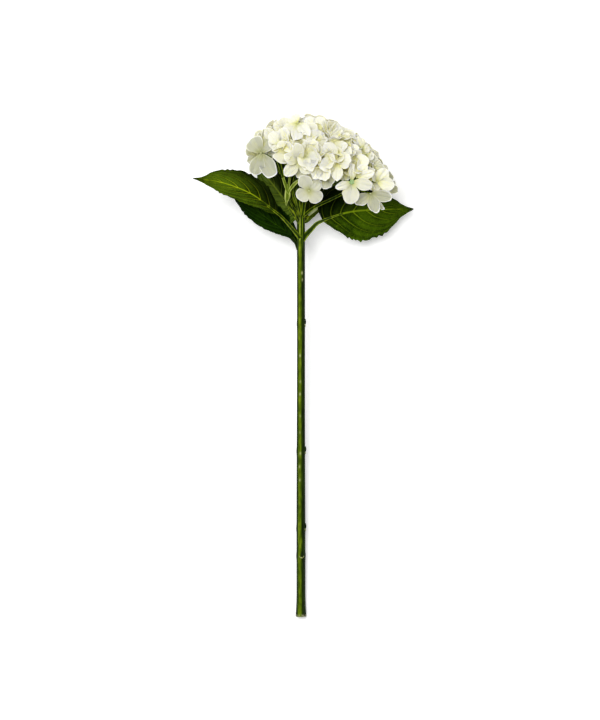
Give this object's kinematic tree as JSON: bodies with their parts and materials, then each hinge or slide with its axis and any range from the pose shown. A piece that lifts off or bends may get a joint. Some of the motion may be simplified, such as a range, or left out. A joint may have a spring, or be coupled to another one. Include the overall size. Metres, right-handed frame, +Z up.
{
  "type": "cut hydrangea",
  "caption": "Cut mophead hydrangea lying on its side: a long woody stem, five toothed leaves and a dense domed head of four-petalled florets.",
  "frame": {"origin": "on the surface that the flower lies on, under the middle of its box", "axes": "+Y along the stem from the cut end towards the head, +Z up from the surface, +X to the right seen from above"},
  "size_m": [0.2306, 0.5256, 0.1231],
  "materials": {
    "stem": "green young wood, smooth and faintly glossy, with pale lenticels and leaf scars",
    "leaf": "thick fresh leaf, semi-gloss, with sunk pale veins and a toothed margin",
    "petal": "fresh petals, matt and slightly translucent, creamy white with green-tinged hearts"
  },
  "bodies": {
    "root": {"stem": "stem", "leaf_left_upper": "leaf", "leaf_left_lower": "leaf", "leaf_left_back": "leaf", "leaf_right_lower": "leaf", "leaf_right_back": "leaf", "bloom": "petal"}
  },
  "joints": []
}
